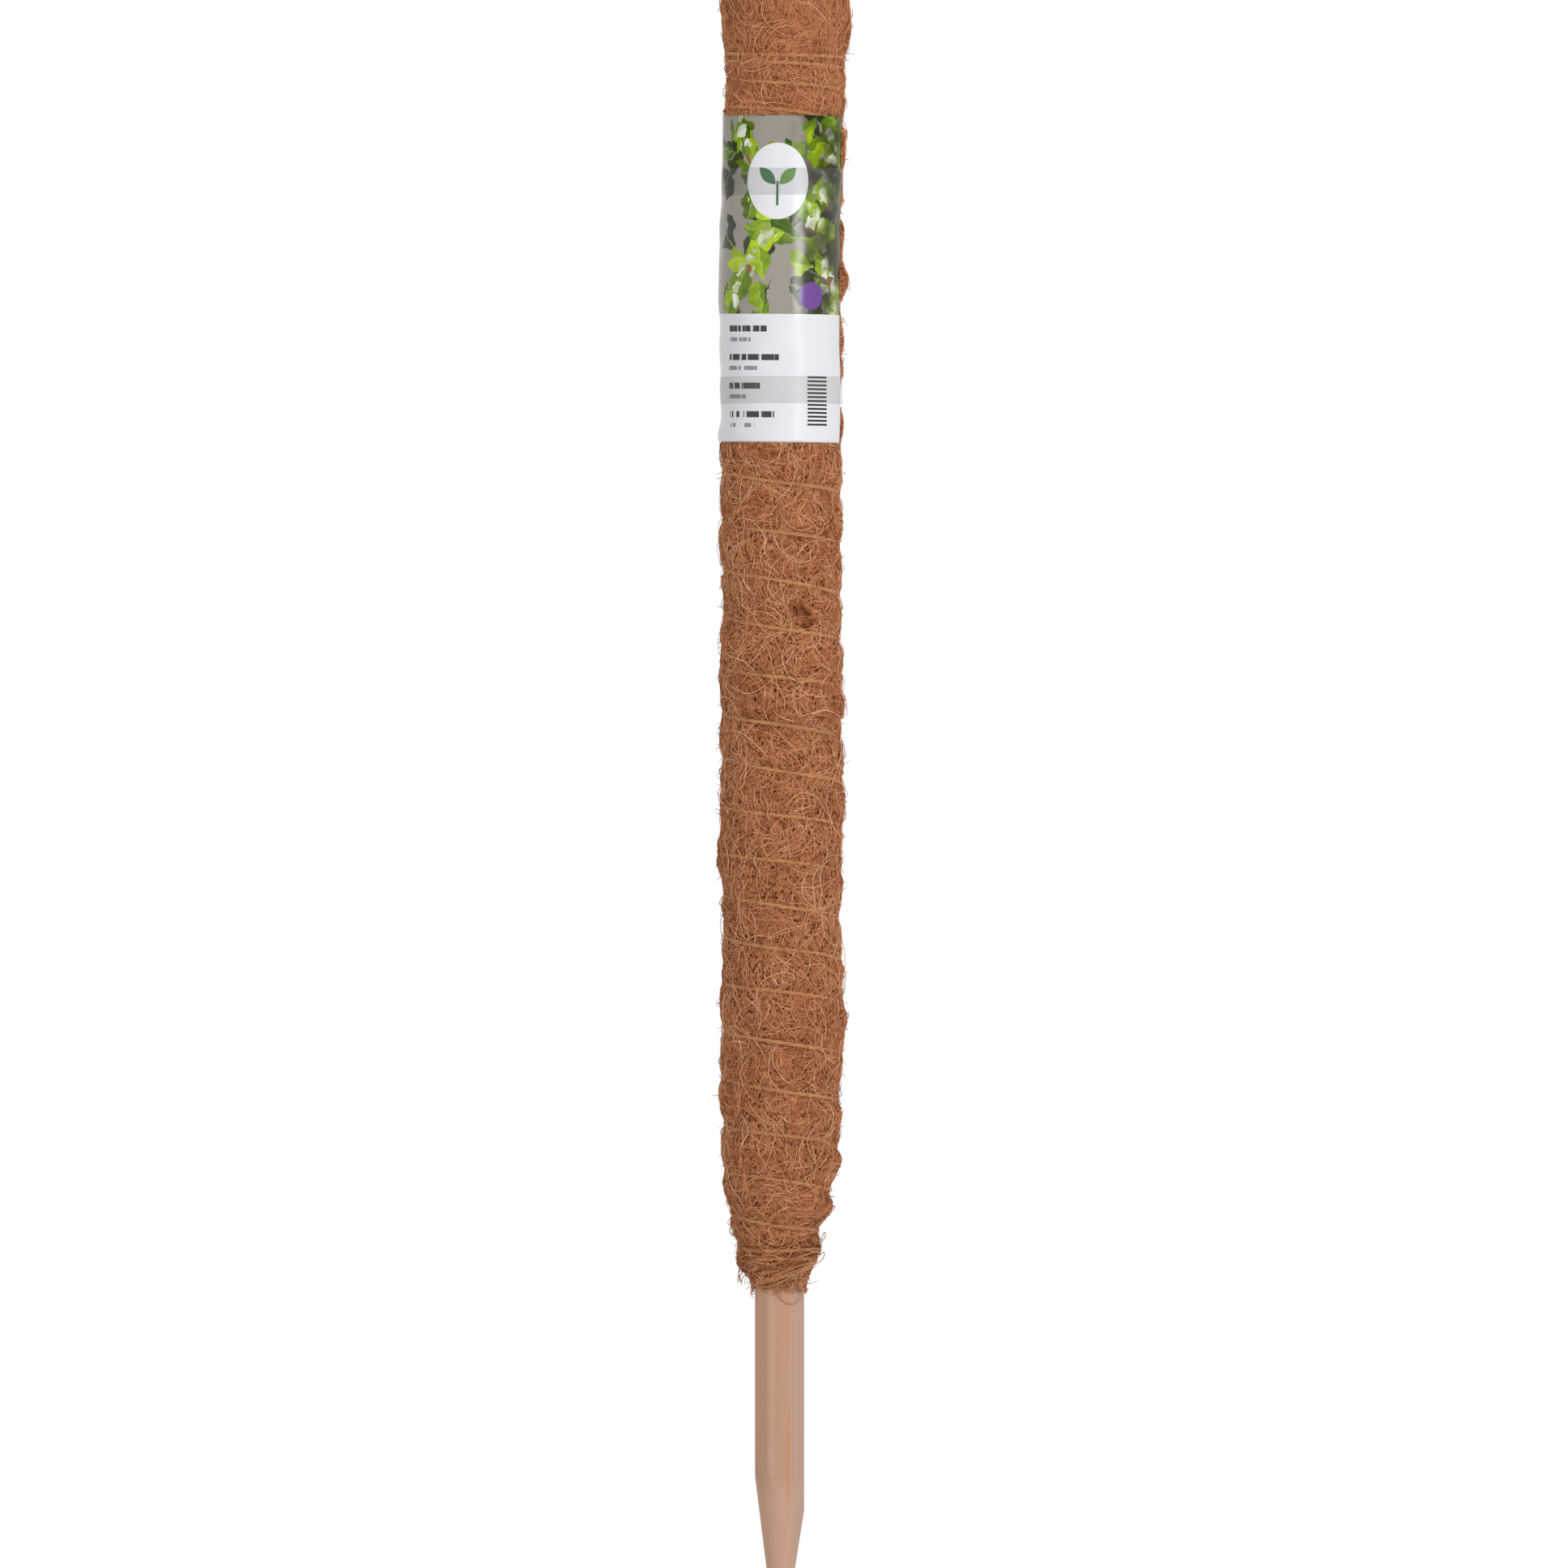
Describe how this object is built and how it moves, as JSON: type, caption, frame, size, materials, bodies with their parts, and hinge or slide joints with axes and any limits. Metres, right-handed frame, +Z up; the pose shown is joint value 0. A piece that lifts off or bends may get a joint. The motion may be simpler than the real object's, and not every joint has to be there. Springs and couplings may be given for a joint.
{
  "type": "moss pole",
  "caption": "Upright climbing pole for house plants: a sharpened wooden stake wrapped in coir fibre that is bound by a twine spiral, with a paper label taped near the top.",
  "frame": {"origin": "middle of the stake's blunt tip, the end that goes into the soil", "axes": "+Z up along the stake, -Y towards the front that the label faces, +X to the right seen from the front"},
  "size_m": [0.0532, 0.0532, 0.7],
  "materials": {
    "planed_softwood": "planed bare softwood with straight grain, fine dark flecks and a sharpened point",
    "inner_coir": "packed brown coconut fibre",
    "coir_fibre": "loose tangled brown coconut fibre with paler strands and fly-away hairs",
    "jute_twine": "golden two-ply jute twine, hairy and dull",
    "label_paper": "coated paper with a printed leaf field above a white panel",
    "clear_tape": "clear glossy film"
  },
  "bodies": {
    "root": {"wooden_stake": "planed_softwood", "inner_coir_wrap": "inner_coir", "outer_coir_mat": "coir_fibre", "upper_twine_tie": "jute_twine", "spiral_twine": "jute_twine", "lower_twine_tie": "jute_twine", "paper_label": "label_paper", "upper_tape_band": "clear_tape", "lower_tape_band": "clear_tape"}
  },
  "joints": []
}
